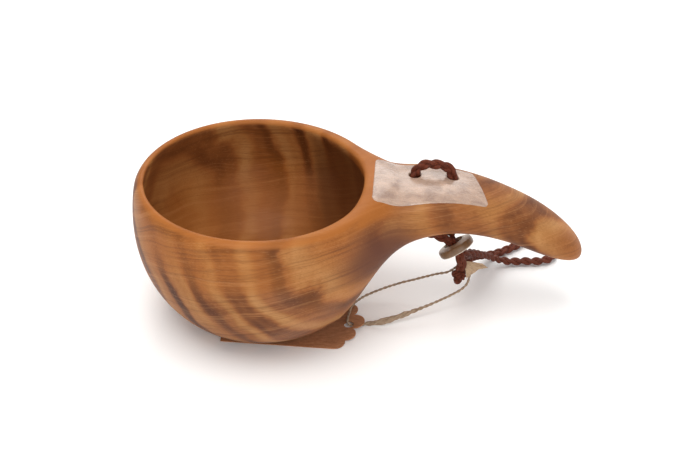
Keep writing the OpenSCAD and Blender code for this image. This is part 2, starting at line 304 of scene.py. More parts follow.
def inside_mask(k, x, y, z):
    """One on the wall and floor of the hollow, nought outside it."""
    xi = k.math("SUBTRACT", x, MIDDLE_X)
    dz = k.math("SUBTRACT", z, MIDDLE_Z)
    rad = k.math("ADD", k.math("MULTIPLY", xi, xi), k.math("MULTIPLY", y, y))
    high = k.math("DIVIDE", k.math("MULTIPLY", dz, dz), HOLLOW_H**2)
    q = k.math("ADD", k.math("DIVIDE", rad, HOLLOW_R**2), high)
    return k.math("MULTIPLY", k.range(q, 1.16, 1.04), k.range(z, 61.5, 58.0))


def lip_top_painted_light(k, x, z):
    """Where light is painted on the top: the lip's top, and the wood beside the inlay."""
    lip = k.math("MULTIPLY", k.range(z, 60.9, 62.2), k.range(x, 54.0, 46.0))
    beside = k.math("MULTIPLY", k.range(x, 34.0, 40.0), k.range(x, 56.0, 47.0))
    return k.math("MAXIMUM", lip, k.math("MULTIPLY", k.range(z, 57.5, 60.5), beside))


def wood_material():
    """Curly birch: slanting curl bands, growth lines that run along the handle, fine fibres and satin oil."""
    k = Nodes("curly_birch")
    co = k.vec("SCALE", k.coord, scale=1000.0)          # millimetres
    x, y, z = k.xyz(co)
    slow = k.noise(k.scaled((0.016, 0.018, 0.020), co), 1.0, 2.0, 0.5).outputs["Color"]
    sx, sy, sz = k.xyz(slow)
    jag = k.math("SUBTRACT", k.noise(k.scaled((0.07, 0.07, 0.07), co), 1.0, 3.0, 0.6).outputs[0], 0.5)
    wave, curl = curl_bands(k, x, y, z, k.math("SUBTRACT", sx, 0.5), jag)
    strong = k.noise(k.scaled((0.030, 0.026, 0.022), co), 1.0, 2.0, 0.5).outputs[0]
    curl = k.math("MULTIPLY", curl, k.range(strong, 0.34, 0.62, 0.30, 1.15))
    curl = k.math("ADD", curl, k.math("MULTIPLY", jag, 0.5))
    growth, dark_line, light_line = growth_lines(k, x, y, z, k.math("SUBTRACT", sy, 0.5))
    bent = k.vec("ADD", k.scaled((0.10, 2.3, 2.3), co), k.vec("SCALE", slow, scale=9.0))
    fibre = k.noise(bent, 1.0, 3.0, 0.65).outputs[0]
    fleck = k.noise(k.scaled((0.55, 2.4, 2.4), co), 1.0, 2.0, 0.6).outputs[0]
    col = k.ramp(k.math("ADD", curl, 0.5, clamp=True), [
        (0.00, (0.066, 0.018, 0.0055)),
        (0.22, (0.120, 0.036, 0.0105)),
        (0.46, (0.245, 0.083, 0.023)),
        (0.68, (0.325, 0.132, 0.038)),
        (1.00, (0.405, 0.190, 0.064)),
    ])
    # golden and rosy places
    col = k.mix(k.math("MULTIPLY", k.range(sz, 0.47, 0.62), 0.42), col, (0.42, 0.135, 0.022))
    col = k.mix(k.math("MULTIPLY", k.range(sx, 0.52, 0.66), 0.25), col, (0.36, 0.17, 0.10))
    # lines, fibres and flecks
    col = k.mix(k.range(growth, 0.50, 0.68, 0.0, 0.42), col, (0.085, 0.026, 0.009))
    col = k.mix(k.range(growth, 0.46, 0.30, 0.0, 0.30), col, (0.50, 0.225, 0.082))
    col = k.mix(k.math("MULTIPLY", dark_line, 0.26), col, (0.07, 0.022, 0.008))
    col = k.mix(k.math("MULTIPLY", light_line, 0.16), col, (0.58, 0.29, 0.12))
    col = k.mix(k.range(fibre, 0.52, 0.72, 0.0, 0.30), col, (0.10, 0.032, 0.011))
    col = k.mix(k.range(fibre, 0.46, 0.28, 0.0, 0.20), col, (0.56, 0.28, 0.12))
    col = k.mix(k.range(fleck, 0.56, 0.74, 0.0, 0.22), col, (0.10, 0.034, 0.012))
    # the hollow turns a richer orange towards its floor, and is painted darker towards the handle: partly a
    # dark figure in the wood, partly painted shade on the hollow's wall
    within = inside_mask(k, x, y, z)
    col = k.mix(k.math("MULTIPLY", within, k.range(z, 44.0, 20.0, 0.15, 0.65)), col, (0.30, 0.092, 0.012))
    # painted shade with a dark figure: the hollow's wall darkens towards the handle, along a wavy edge
    edge = k.math("ADD", x, k.math("MULTIPLY", wave, 2.0))
    col = k.mix(k.math("MULTIPLY", within, k.range(edge, 14.0, 30.0, 0.0, 0.72)), col, (0.062, 0.017, 0.005))
    # a dark, purplish figure where the handle leaves the bowl
    off = k.vec("MULTIPLY", k.vec("SUBTRACT", co, ROOT_FIGURE), (0.036, 0.036, 0.058))
    near = k.range(k.vec("LENGTH", off), 1.0, 0.30)
    patch = k.math("MULTIPLY", near, k.range(strong, 0.30, 0.55, 0.70, 0.92))
    col = k.mix(patch, col, (0.105, 0.036, 0.020))
    # painted light: the lip's top and the wood beside the inlay are painted a brighter golden orange
    col = k.mix(k.math("MULTIPLY", lip_top_painted_light(k, x, z), 0.66), col, (0.37, 0.118, 0.020))
    k.link(col, k.bsdf.inputs["Base Color"])
    k.link(k.math("ADD", 0.42, k.math("MULTIPLY", fleck, 0.16)), k.bsdf.inputs["Roughness"])
    k.bsdf.inputs["Specular IOR Level"].default_value = 0.12
    k.bsdf.inputs["Coat Weight"].default_value = 0.03
    k.bsdf.inputs["Coat Roughness"].default_value = 0.16
    n = k.bump(fibre, 0.12, 0.00025)
    n = k.bump(growth, 0.10, 0.0004, n)
    k.link(n, k.bsdf.inputs["Normal"])
    return k.mat


def antler_material(name, tint, dark, gloss):
    """Polished antler: cloudy, with fine lines and pores."""
    k = Nodes(name)
    co = k.vec("SCALE", k.coord, scale=1000.0)
    cloud = k.noise(k.scaled((0.16, 0.20, 0.20), co), 1.0, 5.0, 0.6, 0.5)
    pores = k.noise(k.scaled((0.9, 1.6, 1.6), co), 1.0, 3.0, 0.6)
    lines = k.noise(k.scaled((0.14, 1.1, 0.6), co), 1.0, 3.0, 0.6)
    bright = tuple(c * 1.22 for c in tint)
    line = k.math("MULTIPLY", k.range(lines.outputs[0], 0.52, 0.70), 0.30)
    pore = k.math("MULTIPLY", k.range(pores.outputs[0], 0.58, 0.72), 0.34)
    col = k.ramp(cloud.outputs[0], [(0.30, dark), (0.50, tint), (0.68, bright)])
    col = k.mix(line, col, tuple(c * 0.62 for c in dark))
    col = k.mix(pore, col, tuple(c * 0.5 for c in dark))
    k.link(col, k.bsdf.inputs["Base Color"])
    k.link(k.math("ADD", gloss, k.math("MULTIPLY", pores.outputs[0], 0.14)), k.bsdf.inputs["Roughness"])
    k.bsdf.inputs["Coat Weight"].default_value = 0.28
    k.bsdf.inputs["Coat Roughness"].default_value = 0.12
    k.bsdf.inputs["Subsurface Weight"].default_value = 0.12
    k.bsdf.inputs["Subsurface Radius"].default_value = (0.004, 0.003, 0.002)
    k.bsdf.inputs["Subsurface Scale"].default_value = 0.5
    n = k.bump(cloud.outputs[0], 0.12, 0.0010)
    n = k.bump(pores.outputs[0], 0.10, 0.0001, n)
    k.link(n, k.bsdf.inputs["Normal"])
    return k.mat


def leather_material(name, light, dark):
    """Dark red-brown leather, with fibres along each strand."""
    k = Nodes(name)
    lay = k.attr("lay")
    co = k.vec("SCALE", k.coord, scale=1000.0)
    fibre = k.noise(k.scaled((0.55, 3.2, 3.2), lay), 1.0, 4.0, 0.6)
    blotch = k.noise(k.scaled((0.35, 0.35, 0.35), co), 1.0, 3.0, 0.6)
    grain = k.noise(k.scaled((2.4, 2.4, 2.4), co), 1.0, 3.0, 0.65)
    mixv = k.math("ADD", k.math("MULTIPLY", fibre.outputs[0], 0.6), k.math("MULTIPLY", grain.outputs[0], 0.4))
    middle = tuple((a + b) / 2 for a, b in zip(light, dark))
    col = k.ramp(mixv, [(0.32, dark), (0.50, middle), (0.66, light)])
    col = k.mix(k.range(blotch.outputs[0], 0.45, 0.7, 0.0, 0.45), col, tuple(c * 0.55 for c in light))
    k.link(col, k.bsdf.inputs["Base Color"])
    k.link(k.math("ADD", 0.42, k.math("MULTIPLY", grain.outputs[0], 0.3)), k.bsdf.inputs["Roughness"])
    k.bsdf.inputs["Specular IOR Level"].default_value = 0.22
    n = k.bump(fibre.outputs[0], 1.0, 0.0005)
    n = k.bump(grain.outputs[0], 0.35, 0.00015, n)
    k.link(n, k.bsdf.inputs["Normal"])
    return k.mat


def paper_material(name, light, dark):
    """Twisted paper or raffia: long fibres along the strand."""
    k = Nodes(name)
    lay = k.attr("lay")
    co = k.vec("SCALE", k.coord, scale=1000.0)
    fibre = k.noise(k.scaled((0.35, 3.0, 3.0), lay), 1.0, 4.0, 0.62)
    spots = k.noise(k.scaled((0.7, 0.7, 0.7), co), 1.0, 3.0, 0.6)
    col = k.ramp(fibre.outputs[0], [(0.34, dark), (0.62, light)])
    col = k.mix(k.range(spots.outputs[0], 0.5, 0.75, 0.0, 0.5), col, tuple(c * 0.6 for c in dark))
    k.link(col, k.bsdf.inputs["Base Color"])
    k.bsdf.inputs["Roughness"].default_value = 0.8
    n = k.bump(fibre.outputs[0], 0.7, 0.0003)
    k.link(n, k.bsdf.inputs["Normal"])
    return k.mat


def card_material():
    """Brown kraft card with loose fibres."""
    k = Nodes("kraft_card")
    co = k.vec("SCALE", k.coord, scale=1000.0)
    pulp = k.noise(k.scaled((0.35, 0.9, 0.9), co), 1.0, 5.0, 0.62)
    fibre = k.noise(k.scaled((1.4, 5.0, 5.0), co), 1.0, 4.0, 0.65)
    col = k.ramp(pulp.outputs[0], [
        (0.32, (0.30, 0.120, 0.050)),
        (0.55, (0.40, 0.170, 0.074)),
        (0.72, (0.48, 0.225, 0.105)),
    ])
    col = k.mix(k.math("MULTIPLY", k.range(fibre.outputs[0], 0.55, 0.72), 0.45), col, (0.56, 0.32, 0.17))
    col = k.mix(k.math("MULTIPLY", k.range(fibre.outputs[0], 0.44, 0.28), 0.35), col, (0.17, 0.064, 0.026))
    k.link(col, k.bsdf.inputs["Base Color"])
    k.bsdf.inputs["Roughness"].default_value = 0.85
    n = k.bump(fibre.outputs[0], 0.35, 0.0001)
    k.link(n, k.bsdf.inputs["Normal"])
    return k.mat


wood = wood_material()
antler = antler_material("polished_antler", (0.39, 0.265, 0.20), (0.27, 0.175, 0.135), 0.20)
leather = leather_material("cord_leather", (0.215, 0.045, 0.018), (0.024, 0.0055, 0.003))
paper = paper_material("twisted_paper", (0.43, 0.31, 0.21), (0.21, 0.13, 0.075))
# painted light: the same paper as the twisted string, painted lighter as if lit, for its flat, opened end
paper_painted_lit = paper_material("paper_ribbon_painted_lit", (0.62, 0.45, 0.29), (0.34, 0.21, 0.12))
card = card_material()

# ---------------------------------------------------------------- cords, first

HOLE_X, HOLE_Y, HOLE_GAP = 61.3, 2.5, 15.2
EXIT_A = (HOLE_X, HOLE_Y, 41.2)
EXIT_B = (HOLE_X + HOLE_GAP, HOLE_Y, 45.4)
RING_POS = np.array([80.8, HOLE_Y, 29.2])
KNOT_POS = np.array([82.7, 0.2, 16.9])
BRIDGE = [
    EXIT_A, (HOLE_X, HOLE_Y, 50), (HOLE_X, HOLE_Y, 63.5), (HOLE_X + 1, HOLE_Y, 66.8),
    (HOLE_X + 3.6, HOLE_Y, 68.7), (HOLE_X + HOLE_GAP / 2, HOLE_Y, 69), (EXIT_B[0] - 3.4, HOLE_Y, 68.2),
    (EXIT_B[0] - 0.9, HOLE_Y, 66), (EXIT_B[0], HOLE_Y, 62.5), (EXIT_B[0], HOLE_Y, 54), EXIT_B,
]
LOOP = [
    EXIT_B, (76.7, 2.7, 41.6), (77.4, 4, 37), (78.7, 5.3, 33.2), (79.8, 5.2, 30.7), (81.2, 4.3, 28.7),
    (82.6, 3.5, 26.7), (84.6, 4.6, 24.6), (87.6, 8.8, 22.2), (91.2, 14.2, 18.2), (95, 19.6, 13.6),
    (99, 25, 8.6), (103.4, 29, 4.6), (109, 30.8, 2.3), (116, 31.6, 2), (122.4, 32, 2), (128, 34.4, 2),
    (130, 40, 2), (128, 45.6, 2), (122.4, 48, 2), (117, 46.4, 2), (112.4, 42.6, 2), (107.4, 39, 2),
    (101.8, 35.2, 2.8), (97, 30.2, 5.6), (92.6, 24, 9.4), (89, 17, 13.2), (86.4, 9.6, 16.4),
    (83.7, 2.7, 16.8),
]
TAIL = [
    EXIT_A, (62.2, 2.4, 39), (65.4, 2.2, 37.6), (70, 1.9, 36.2), (75, 1.5, 34.3), (78.9, 1.4, 31.8),
    (80.4, 0.7, 29.7), (81.8, -0.2, 27.7), (82.9, -0.8, 25), (83.3, -0.6, 22), (82.9, 0, 19.6),
]
STRING = [
    (85.4, 1.4, 22.2), (86.8, 0, 19.8), (87, -1.2, 17), (86, -2.4, 13.8), (83.6, -3, 11.2), (80, -3.8, 9.2),
    (72.6, -6.6, 6.9), (64.8, -9.4, 4.9), (56.8, -12.2, 3.2), (50.2, -13.9, 1.9), (44.6, -13.8, 0.75),
    (39.6, -14.4, 0.6), (37.2, -14.7, 1), (36.6, -13.2, 2.3), (37.4, -9, 2.5), (38.6, -4.4, 2.7),
    (43.2, 1.6, 2.8), (51, 4.6, 5), (58.8, 5.8, 7.5), (66.5, 6, 10), (74, 5.2, 13.2), (78.6, 4.4, 15),
    (81.6, 4.6, 17.2), (83.6, 4, 20), (84.9, 2.8, 22.2),
]


def braid(name, path, ref, period=14.4, start=0.0, wide=1.12, deep=0.62, r=0.92, sides=10):
    """Three strands plaited round a line; ref crossed with the line gives the plait's wide way."""
    p, s = spline(path, 0.45)
    t = tangents(p)
    u = unit(np.cross(ref, t))
    v = np.cross(t, u)
    j = Join()
    for i in range(3):
        a = 2 * np.pi * ((s + start) / period + i / 3)
        c = p + u * (wide * np.sin(a))[:, None] + v * (deep * np.sin(2 * a))[:, None]
        ct = tangents(c)
        cu = unit(np.cross(ct, v))
        cv = np.cross(ct, cu)
        verts, faces = sweep(c, cu, cv, r * 1.1, r * 0.86, sides)
        j.add(verts, faces, s * 1.0 + i * 37, sides, i * 5.0)
    ob = j.make(name, leather)
    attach(ob, "cup")
    return ob, p, s


bridge, _, bs = braid("cord_bridge_braid", BRIDGE, (0, 1, 0))
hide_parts("cord_bridge")
loop, lp, ls = braid("carrying_loop", LOOP, (0, 0, 1), start=bs[-1])
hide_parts("lanyard_loop")
tail, tp, ts = braid("cord_tail", TAIL, (0, 1, 0), start=4.0)
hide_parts("lanyard_tail")


def make_knot():
    """A small overhand knot: the cord wound through itself, drawn tight round its own middle."""
    j = Join()
    n = 160
    for lane in (0, 1, 2):
        a = np.linspace(0, 2 * np.pi, n, endpoint=False)
        c = np.stack([
            (np.sin(a) + 2 * np.sin(2 * a)) * 0.62,
            -np.sin(3 * a) * 0.95,
            (np.cos(a) - 2 * np.cos(2 * a)) * 0.86,
        ], 1)
        t = unit(np.roll(c, -1, 0) - np.roll(c, 1, 0))
        out = unit(c + np.array([0, 0, 0.01]))
        v = unit(out - t * np.sum(out * t, 1)[:, None])
        u = np.cross(t, v)
        tw = 2 * np.pi * (np.arange(n) / n * 7 + lane / 3)
        cc = c + (u * np.cos(tw)[:, None] + v * np.sin(tw)[:, None]) * 0.62
        verts, faces = sweep(cc, u, v, 0.80, 0.74, 10, closed=True)
        j.add(verts + KNOT_POS + np.array([0, 0, -0.7]), faces, np.arange(n) * 0.2, 10, lane * 3.0)
    core = np.linspace(-2.6, 2.2, 12)
    p = KNOT_POS + np.stack([0 * core, 0 * core, core - 0.6], 1)
    w = 1.9 * np.sqrt(np.maximum(0.05, 1 - ((core + 0.2) / 2.7) ** 2))
    u = np.tile((1.0, 0, 0), (12, 1))
    v = np.tile((0, 1.0, 0), (12, 1))
    verts, faces = sweep(p, u, v, w, w * 0.9, 12)
    j.add(verts, faces, core, 12, 9.0)
    ob = j.make("cord_knot", leather)
    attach(ob, "cup")
    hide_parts("lanyard_knot")
    return ob


knot = make_knot()


def make_string():
    """Two plies of twisted paper, opening into a flat strip along the lower run."""
    p, s = spline(STRING, 0.35)
    t = tangents(p)
    face = np.array([0.0, -0.82, 0.57])
    n = unit(face - t * (t @ face)[:, None])
    b = np.cross(t, n)
    total = s[-1]
    j = Join()
    f = s / total
    open_up = np.exp(-(((f - 0.35) / 0.085) ** 2))
    for i in range(2):
        a = 2 * np.pi * np.cumsum(np.gradient(s) * (1 - 0.88 * open_up)) / 4.2 + i * np.pi
        off = 0.20 + 0.30 * open_up
        c = p + n * (np.sin(a) * off * (1 - 0.6 * open_up))[:, None] + b * (np.cos(a) * off)[:, None]
        wob = np.array([noise.noise(Vector((x * 0.6, i * 9.0, 0))) for x in s])
        ru = (0.30 - 0.06 * open_up) * (1 + 0.25 * wob)
        rv = (0.34 + 0.62 * open_up) * (1 + 0.35 * wob)
        verts, faces = sweep(c, n, b, ru, rv, 8)
        j.add(verts, faces, s + i * 50, 8, i * 4.0)
    ob = j.make("tag_string_twist", paper)
    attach(ob, "cup")
    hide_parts("tag_string")
    return ob, p, s


string, sp, ss = make_string()

# ---------------------------------------------------------------- the cup's shape, as in the CAD

BOWL_R, RIM_Z, WIDEST_Z, ROUND_DEPTH, BOWL_SQ = 50.6, 63.0, 46.7, 53.3, 2.1
LIP_R, FLOOR_T, REACH, ROOT_Z, TIP_Z, TIP_SLOPE = 43.8, 10.0, 132.0, 47.7, 31.6, 29.7
HANDLE_T, ROOT_T, ROOT_W, TIP_W, BLEND = 17.4, 28.2, 48.0, 26.0, 13.2
UPPER, LIP_BLEND, HX0, HSQ, CAP_LEN = 62.7, 5.0, 48.6, 2.3, 25.4
HLEN = REACH - HX0
CAP_X = REACH - CAP_LEN
BASE_Z = 0.45
CAV_X, CAV_Z, CAV_R, CAV_UP, CAV_SQ = -1.9, 46.0, LIP_R + 1.5, 54.0, 2.2
HOLE_R = 2.3
HEEL, HEEL_Z, ROOT_X = 0.2, 40.0, 42.0


def smin(a, b, k):
    h = np.clip(0.5 + 0.5 * (b - a) / k, 0, 1)
    return b * (1 - h) + a * h - k * h * (1 - h)


def smax(a, b, k):
    return -smin(-a, -b, k)


def outer(x, y, z):
    r = np.hypot(x / (1 + HEEL * (x > 0) * np.clip(1 - z / HEEL_Z, 0, 1) ** 4), y)
    dz = z - WIDEST_Z
    half = np.where(dz > 0, UPPER, ROUND_DEPTH)
    n = np.where(dz > 0, 2.0, BOWL_SQ)
    rho = ((r / BOWL_R) ** n + np.abs(dz / half) ** n) ** (1 / n)
    side = np.hypot(r, dz) * (1 - 1 / np.maximum(rho, 1e-6))
    bowl = smax(side, z - RIM_Z, LIP_BLEND)
    v = np.maximum(0, 1 - (x - HX0) / HLEN)
    drop = math.tan(math.radians(TIP_SLOPE)) * HLEN
    hz = TIP_Z + drop * v - (TIP_Z + drop - ROOT_Z) * v**3
    ht = HANDLE_T / 2 - 0.6 * (1 - v) + (ROOT_T - HANDLE_T) / 2 * v**4.5
    hw = TIP_W / 2 + 7 * v + (ROOT_W / 2 - TIP_W / 2 - 7) * v**4
    cap = np.maximum(0, x - CAP_X)
    rho = (np.abs(y / hw) ** HSQ + np.abs((z - hz) / ht) ** HSQ + (cap / CAP_LEN) ** HSQ) ** (1 / HSQ)
    handle = np.sqrt(cap**2 + y**2 + (z - hz) ** 2) * (1 - 1 / np.maximum(rho, 1e-6))
    return smin(bowl, np.maximum(handle, ROOT_X - x), BLEND)


def hollow(x, y, z):
    r = np.hypot(x - CAV_X, y)
    dz = z - CAV_Z
    half = np.where(dz > 0, CAV_UP, CAV_Z - BASE_Z - FLOOR_T)
    n = np.where(dz > 0, 2.0, CAV_SQ)
    rho = ((r / CAV_R) ** n + np.abs(dz / half) ** n) ** (1 / n)
    return np.hypot(r, dz) * (1 - 1 / np.maximum(rho, 1e-6))


def bores(x, y):
    return np.minimum(np.hypot(x - HOLE_X, y - HOLE_Y), np.hypot(x - HOLE_X - HOLE_GAP, y - HOLE_Y)) - HOLE_R


def cup(x, y, z):
    f = smax(outer(x, y, z), -hollow(x, y, z), 2.6)
    f = smax(f, -bores(x, y), 0.8)
    return smax(f, BASE_Z - z, 1.6)


INLAY = np.array([(45.9, 12.8), (43.5, -17.5), (90.2, -11.8), (85.3, 10.0)])


def outline(x, y, corner=2.2):
    """Distance to the inlay's rounded outline, below zero inside it."""
    c = INLAY.mean(0)
    inner = []
    n = len(INLAY)
    normals = []
    for i in range(n):
        a, b = INLAY[i], INLAY[(i + 1) % n]
        e = (b - a) / np.linalg.norm(b - a)
        nn = np.array([e[1], -e[0]])
        if np.dot(nn, c - a) > 0:
            nn = -nn
        normals.append((nn, a))
    for i in range(n):
        (n1, a1), (n2, a2) = normals[i], normals[(i + 1) % n]
        inner.append(np.linalg.solve(np.array([n1, n2]), [np.dot(n1, a1) - corner, np.dot(n2, a2) - corner]))
    inside = np.full(np.shape(x), -1e9)
    for i, (nn, a) in enumerate(normals):
        inside = np.maximum(inside, (x - a[0]) * nn[0] + (y - a[1]) * nn[1] + corner)
    dist = np.full(np.shape(x), 1e9)
    for i in range(n):
        a, b = inner[i - 1], inner[i]
        e = b - a
        t = np.clip(((x - a[0]) * e[0] + (y - a[1]) * e[1]) / np.dot(e, e), 0, 1)
        dist = np.minimum(dist, np.hypot(x - a[0] - e[0] * t, y - a[1] - e[1] * t))
    return np.where(inside > 0, dist, -dist) - corner


def inlay(x, y, z):
    o = outer(x, y, z)
    f = smax(o - 0.10, -(o + 1.7), 0.3)
    f = smax(f, outline(x, y), 0.4)
    return smax(f, -bores(x, y), 0.7)


def surface(fun, lo, hi, h):
    """Surface nets of fun over a box, then each point is moved onto the surface."""
    ax = [np.arange(lo[k], hi[k] + h, h) for k in range(3)]
    X, Y, Z = np.meshgrid(*ax, indexing="ij")
    V = np.empty(X.shape, np.float32)
    for i in range(0, X.shape[0], 16):
        V[i:i + 16] = fun(X[i:i + 16], Y[i:i + 16], Z[i:i + 16])
    neg = V < 0
    shape = tuple(n - 1 for n in V.shape)
    total = np.zeros(shape + (3,), np.float32)
    count = np.zeros(shape, np.int16)
    corner = [(i, j, k) for i in (0, 1) for j in (0, 1) for k in (0, 1)]

    def at(a, c):
        return a[c[0]:c[0] + shape[0], c[1]:c[1] + shape[1], c[2]:c[2] + shape[2]]

    for c in corner:
        for d in range(3):
            if c[d]:
                continue
            e = list(c)
            e[d] = 1
            a, b = at(V, c), at(V, e)
            cross = at(neg, c) != at(neg, e)
            t = np.where(cross, a / np.where(cross, a - b, 1), 0)
            for k in range(3):
                total[..., k] += np.where(cross, c[k] + (t if k == d else 0), 0)
            count += cross
    active = count > 0
    index = -np.ones(shape, np.int64)
    index[active] = np.arange(active.sum())
    cells = np.argwhere(active)
    pts = (cells + total[active] / count[active][:, None]) * h + np.array(lo)
    quads = []
    for d in range(3):
        e, f = (d + 1) % 3, (d + 2) % 3
        n0 = np.take(neg, range(0, neg.shape[d] - 1), axis=d)
        n1 = np.take(neg, range(1, neg.shape[d]), axis=d)
        g = np.argwhere(n0 != n1)
        ok = (g[:, e] > 0) & (g[:, f] > 0) & (g[:, e] < shape[e]) & (g[:, f] < shape[f])
        g = g[ok]
        s = n0[tuple(g.T)]
        q = []
        for de, df in ((1, 1), (0, 1), (0, 0), (1, 0)):
            w = g.copy()
            w[:, e] -= de
            w[:, f] -= df
            q.append(index[tuple(w.T)])
        q = np.stack(q, 1)
        q[~s] = q[~s][:, ::-1]
        quads.append(q)
    quads = np.vstack(quads)
    quads = quads[(quads >= 0).all(1)]
    for _ in range(4):
        g = np.empty_like(pts)
        e = 0.05
        for k in range(3):
            a, b = pts.copy(), pts.copy()
            a[:, k] += e
            b[:, k] -= e
            g[:, k] = (fun(*a.T) - fun(*b.T)) / (2 * e)
        f = fun(*pts.T)
        step = f[:, None] * g / np.maximum((g * g).sum(1), 0.2)[:, None]
        length = np.linalg.norm(step, axis=1, keepdims=True)
        pts -= step * np.minimum(1, 0.5 * h / np.maximum(length, 1e-9))
    return pts, quads


pts, quads = surface(cup, (-53, -53, -1.2), (134.5, 53, 67), 0.9)
body = add_mesh("cup_wood", pts * MM, quads, wood)
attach(body, "cup")
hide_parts("cup_body")

pts, quads = surface(inlay, (42, -20, 52), (92, 16, 68), 0.38)
plate = add_mesh("antler_plate", pts * MM, quads, antler)
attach(plate, "cup")
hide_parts("antler_inlay")

# ---------------------------------------------------------------- antler ring

RING_TILT, RING_TURN = math.radians(-39.3), math.radians(-32)


def ring_material():
    """A slice of antler: light tan within, with brown bark round the rim, and a painted highlight along its
    lower edge.
    """
    k = Nodes("antler_slice")
    co = k.vec("SCALE", k.coord, scale=1000.0)
    x, y, z = k.xyz(co)
    r = k.math("SQRT", k.math("ADD", k.math("POWER", x, 2.0), k.math("POWER", y, 2.0)))
    wob = k.noise(k.scaled((0.35, 0.35, 0.35), co), 1.0, 3.0, 0.6)
    pores = k.noise(k.scaled((1.8, 1.8, 1.8), co), 1.0, 4.0, 0.65)
    rr = k.math("ADD", r, k.math("MULTIPLY", k.math("SUBTRACT", wob.outputs[0], 0.5), 1.6))
    face = k.ramp(k.math("DIVIDE", rr, 8.5), [
        (0.45, (0.34, 0.255, 0.18)),
        (0.60, (0.46, 0.36, 0.265)),
        (0.78, (0.40, 0.29, 0.19)),
        (0.86, (0.22, 0.125, 0.060)),
        (1.0, (0.12, 0.058, 0.025)),
    ])
    col = k.mix(k.math("MULTIPLY", k.range(pores.outputs[0], 0.52, 0.70), 0.5), face, (0.13, 0.09, 0.055))
    # painted highlight: the lower edge and underside of the slice are painted near white
    edge_highlight = k.range(z, -0.9, -1.35)
    col = k.mix(k.math("MULTIPLY", edge_highlight, 0.85), col, (0.72, 0.66, 0.57))
    k.link(col, k.bsdf.inputs["Base Color"])
    k.link(k.math("ADD", 0.28, k.math("MULTIPLY", pores.outputs[0], 0.3)), k.bsdf.inputs["Roughness"])
    k.bsdf.inputs["Coat Weight"].default_value = 0.25
    k.bsdf.inputs["Coat Roughness"].default_value = 0.2
    n = k.bump(pores.outputs[0], 0.35, 0.0003)
    k.link(n, k.bsdf.inputs["Normal"])
    return k.mat


def make_ring():
    """The slice turned from its cross section, domed on top and a little uneven."""
    prof = []
    ro, ri, lo, hi, dome = 7.7, 4.25, -1.5, 1.5, 1.5
    prof += [(ri + 0.35, lo), (ro - 0.9, lo), (ro - 0.35, lo + 0.12), (ro - 0.05, lo + 0.45)]
    prof += [(ro, lo + 1.2), (ro - 0.05, hi - 0.7), (ro - 0.3, hi - 0.15)]
    for f in np.linspace(0.12, 0.94, 7):
        r = ro + (ri - ro) * f
        prof.append((r, hi + dome * (1 - (r / ro) ** 2) * 1.05))
    prof += [(ri + 0.12, hi + dome * 0.66), (ri, hi + 0.5), (ri, 0.0), (ri, lo + 0.4), (ri + 0.1, lo + 0.1)]
    n = 96
    verts, faces = [], []
    for i in range(n):
        a = 2 * math.pi * i / n
        for r, zz in prof:
            w = noise.noise(Vector((math.cos(a) * 1.3, math.sin(a) * 1.3, zz * 0.35)))
            q = r + (0.16 * w if r > 6 else 0.10 * w)
            zz2 = zz + 0.10 * noise.noise(Vector((math.cos(a) * r * 0.5, math.sin(a) * r * 0.5, 7)))
            verts.append((q * math.cos(a), q * math.sin(a), zz2))
    m_ = len(prof)
    for i in range(n):
        for j in range(m_):
            a, b = i * m_ + j, i * m_ + (j + 1) % m_
            c, d = ((i + 1) % n) * m_ + (j + 1) % m_, ((i + 1) % n) * m_ + j
            faces.append((a, d, c, b))
    ob = add_mesh("antler_slider", np.array(verts) * MM, faces, ring_material())
    lean = Matrix.Rotation(RING_TURN, 4, "Z") @ Matrix.Rotation(RING_TILT, 4, "Y")
    ob.matrix_world = Matrix.Translation(Vector(RING_POS * MM)) @ lean
    sub = ob.modifiers.new("smooth", "SUBSURF")
    sub.levels = sub.render_levels = 1
    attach(ob, "ring")
    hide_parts("antler_ring")
    return ob


ring = make_ring()

# ---------------------------------------------------------------- tag

TAG_L, TAG_W, TAG_T, FOLD, LIFT = 58.0, 34.6, 0.45, 11.5, math.radians(7.5)
SC = 4.2                                # radius of the scallops
TAG_POS, TAG_TURN = (43.7, -13.4), math.radians(-4.3)
PUNCH, PUNCH_R = np.array([-6.4, -2.0]), 2.0


def tag_edge():
    """Half of the tag's outline with its scallops as arcs, then the same mirrored."""
    def meet(a, ra, b, rb, side):
        d = np.hypot(*(b - a))
        turn = math.acos((d * d + ra * ra - rb * rb) / (2 * d * ra))
        return math.atan2(b[1] - a[1], b[0] - a[0]) + side * turn

    def arc(c, r, a, b, n):
        return [c + r * np.array([math.cos(t), math.sin(t)]) for t in np.linspace(a, b, n)]

    s, m_, p = np.array([-11.5, SC - TAG_W / 2]), np.array([-7.4, -7.9]), np.array([-4.4, 0.0])
    near = [np.array([-TAG_L + 0.3, -TAG_W / 2])]
    near += arc(s, SC, -math.pi / 2, meet(s, SC, m_, SC, -1), 14)
    near += arc(m_, SC, meet(m_, SC, s, SC, 1), meet(m_, SC, p, SC + 0.2, -1), 18)[1:]
    near += arc(p, SC + 0.2, meet(p, SC + 0.2, m_, SC, 1), 0, 14)[1:]
    far = [np.array([q[0], -q[1]]) for q in near[-2::-1]]
    return near + far


